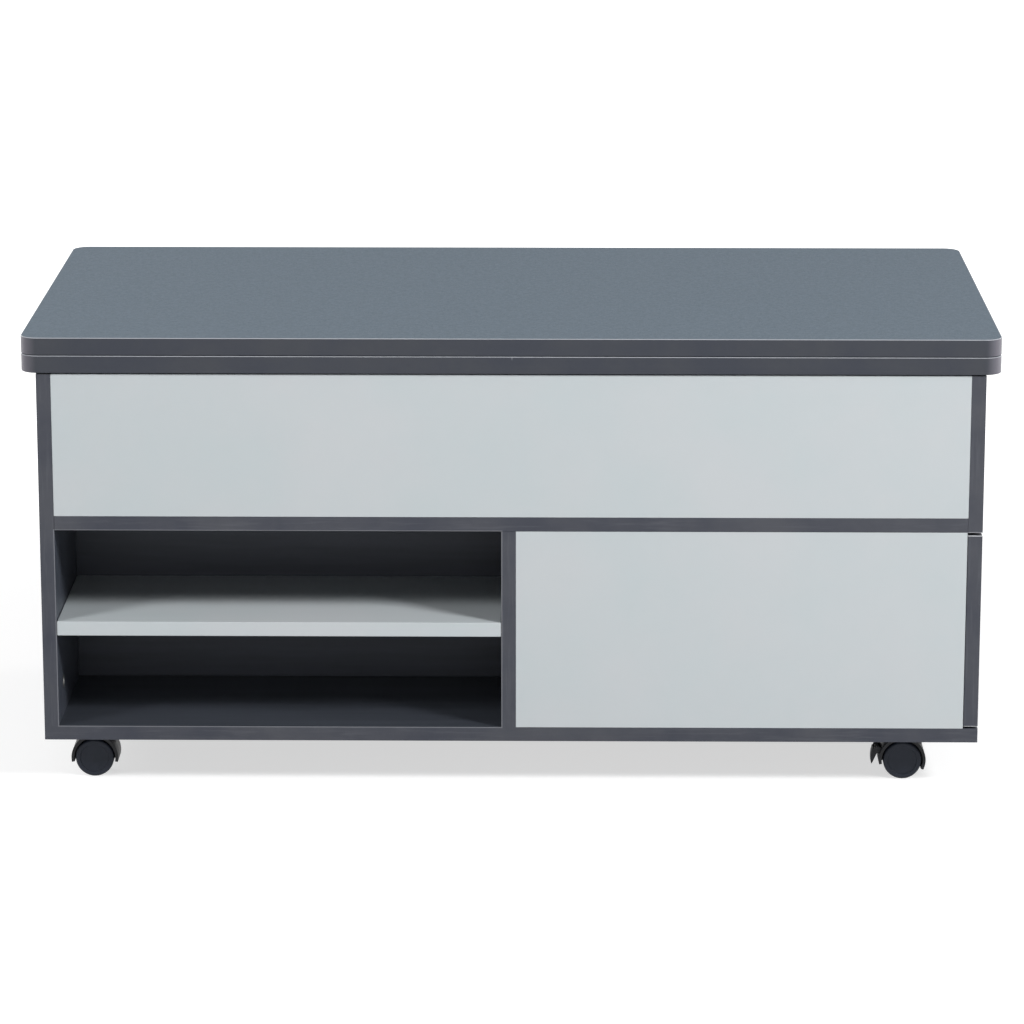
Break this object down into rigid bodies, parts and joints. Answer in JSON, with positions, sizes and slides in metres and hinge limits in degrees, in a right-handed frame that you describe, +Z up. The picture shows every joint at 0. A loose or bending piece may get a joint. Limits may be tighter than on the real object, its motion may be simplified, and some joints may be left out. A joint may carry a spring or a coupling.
{
  "type": "convertible coffee dining table",
  "caption": "Low storage table on casters whose folding double top lifts and comes forward on a parallelogram, with an open shelf bay and an end drawer.",
  "frame": {"origin": "on the floor, under the middle of the closed table", "axes": "+X to the drawer end (right), +Y to the back, +Z up; the front faces -Y"},
  "size_m": [1, 0.5285, 0.476],
  "materials": {
    "light_board": "light grey melamine board",
    "dark_board": "dark grey melamine board",
    "top_board": "mid grey fine-grained laminate",
    "drawer_board": "dark grey melamine board",
    "edge_band": "smooth edge band",
    "caster_plastic": "moulded black plastic",
    "wheel_plastic": "black plastic tyre and disc",
    "pad_rubber": "soft pad",
    "slide_steel": "zinc plated",
    "fitting_steel": "nickel plated",
    "spring_steel": "spring wire",
    "lift_steel": "dark grey powder coat"
  },
  "bodies": {
    "cabinet": {"bottom_board": "dark_board", "left_side_panel": "dark_board", "right_side_panel": "dark_board", "middle_board": "dark_board", "divider_panel": "dark_board", "upper_front_panel": "light_board", "upper_back_panel": "light_board", "lower_front_panel": "light_board", "lower_back_panel": "light_board", "bay_partition": "dark_board", "front_shelf": "light_board", "rear_shelf": "light_board", "shelf_pins": "fitting_steel", "cam_fittings": "fitting_steel", "front_slide_rail": "slide_steel", "rear_slide_rail": "slide_steel", "left_lift_base": "lift_steel", "right_lift_base": "lift_steel", "lift_base_pins": "fitting_steel", "cabinet_screws": "fitting_steel", "top_bumpers": "pad_rubber", "caster_plates": "fitting_steel"},
    "lift_front_arms": {"left_front_arm": "lift_steel", "right_front_arm": "lift_steel", "sync_bar": "lift_steel", "lift_springs": "spring_steel"},
    "lift_rear_arms": {"left_rear_arm": "lift_steel", "right_rear_arm": "lift_steel"},
    "top_carrier": {"lower_leaf": "top_board", "lower_leaf_edging": "edge_band", "left_top_rail": "lift_steel", "right_top_rail": "lift_steel", "lift_top_pins": "fitting_steel", "top_screws": "fitting_steel", "lower_hinge_plates": "fitting_steel", "hinge_pins": "fitting_steel", "leaf_bumpers": "pad_rubber"},
    "folding_leaf": {"upper_leaf": "top_board", "upper_leaf_edging": "edge_band", "upper_hinge_plates": "fitting_steel"},
    "drawer": {"drawer_front": "dark_board", "drawer_front_side": "drawer_board", "drawer_rear_side": "drawer_board", "drawer_back": "drawer_board", "drawer_bottom": "drawer_board", "front_drawer_rail": "slide_steel", "rear_drawer_rail": "slide_steel"},
    "slide_middle": {"front_middle_rail": "slide_steel", "rear_middle_rail": "slide_steel"},
    "front_left_caster": {"front_left_hood": "caster_plastic"},
    "front_left_wheel_pair": {"front_left_wheels": "wheel_plastic"},
    "front_right_caster": {"front_right_hood": "caster_plastic"},
    "front_right_wheel_pair": {"front_right_wheels": "wheel_plastic"},
    "front_right_brake": {"front_right_brake_lever": "caster_plastic"},
    "back_left_caster": {"back_left_hood": "caster_plastic"},
    "back_left_wheel_pair": {"back_left_wheels": "wheel_plastic"},
    "back_right_caster": {"back_right_hood": "caster_plastic"},
    "back_right_wheel_pair": {"back_right_wheels": "wheel_plastic"},
    "back_right_brake": {"back_right_brake_lever": "caster_plastic"}
  },
  "joints": [
    {"name": "top_lift", "type": "hinge", "parent": "cabinet", "child": "lift_front_arms", "pos_m": [0, -0.08174, 0.419], "axis": [1, 0, 0], "range_deg": [0, 105]},
    {"name": "rear_arm_swing", "type": "hinge", "parent": "cabinet", "child": "lift_rear_arms", "pos_m": [0, -0.02174, 0.379], "axis": [1, 0, 0], "range_deg": [0, 105]},
    {"name": "top_level", "type": "hinge", "parent": "lift_front_arms", "child": "top_carrier", "pos_m": [0, 0.15695, 0.39391], "axis": [1, 0, 0], "range_deg": [-105, 0]},
    {"name": "leaf_fold", "type": "hinge", "parent": "top_carrier", "child": "folding_leaf", "pos_m": [0, 0.26125, 0.4577], "axis": [-1, 0, 0], "range_deg": [0, 180]},
    {"name": "drawer_slide", "type": "slide", "parent": "cabinet", "child": "drawer", "axis": [1, 0, 0], "range_m": [0, 0.35]},
    {"name": "slide_middle_run", "type": "slide", "parent": "cabinet", "child": "slide_middle", "axis": [1, 0, 0], "range_m": [0, 0.175]},
    {"name": "front_left_swivel", "type": "hinge", "parent": "cabinet", "child": "front_left_caster", "pos_m": [-0.423, -0.21075, 0.045], "axis": [0, 0, 1], "continuous": true},
    {"name": "front_left_roll", "type": "hinge", "parent": "front_left_caster", "child": "front_left_wheel_pair", "pos_m": [-0.4365, -0.21075, 0.02], "axis": [0, 1, 0], "continuous": true},
    {"name": "front_right_swivel", "type": "hinge", "parent": "cabinet", "child": "front_right_caster", "pos_m": [0.423, -0.21075, 0.045], "axis": [0, 0, 1], "continuous": true},
    {"name": "front_right_roll", "type": "hinge", "parent": "front_right_caster", "child": "front_right_wheel_pair", "pos_m": [0.4095, -0.21075, 0.02], "axis": [0, 1, 0], "continuous": true},
    {"name": "front_right_brake_tip", "type": "hinge", "parent": "front_right_caster", "child": "front_right_brake", "pos_m": [0.38366, -0.21075, 0.02941], "axis": [0, 1, 0], "range_deg": [0, 20]},
    {"name": "back_left_swivel", "type": "hinge", "parent": "cabinet", "child": "back_left_caster", "pos_m": [-0.423, 0.20725, 0.045], "axis": [0, 0, 1], "continuous": true},
    {"name": "back_left_roll", "type": "hinge", "parent": "back_left_caster", "child": "back_left_wheel_pair", "pos_m": [-0.4365, 0.20725, 0.02], "axis": [0, 1, 0], "continuous": true},
    {"name": "back_right_swivel", "type": "hinge", "parent": "cabinet", "child": "back_right_caster", "pos_m": [0.423, 0.20725, 0.045], "axis": [0, 0, 1], "continuous": true},
    {"name": "back_right_roll", "type": "hinge", "parent": "back_right_caster", "child": "back_right_wheel_pair", "pos_m": [0.4095, 0.20725, 0.02], "axis": [0, 1, 0], "continuous": true},
    {"name": "back_right_brake_tip", "type": "hinge", "parent": "back_right_caster", "child": "back_right_brake", "pos_m": [0.38366, 0.20725, 0.02941], "axis": [0, 1, 0], "range_deg": [0, 20]}
  ],
  "couplings": [
    {"joint": "rear_arm_swing", "follows": "top_lift", "ratio": 1},
    {"joint": "top_level", "follows": "top_lift", "ratio": -1},
    {"joint": "slide_middle_run", "follows": "drawer_slide", "ratio": 0.5}
  ]
}
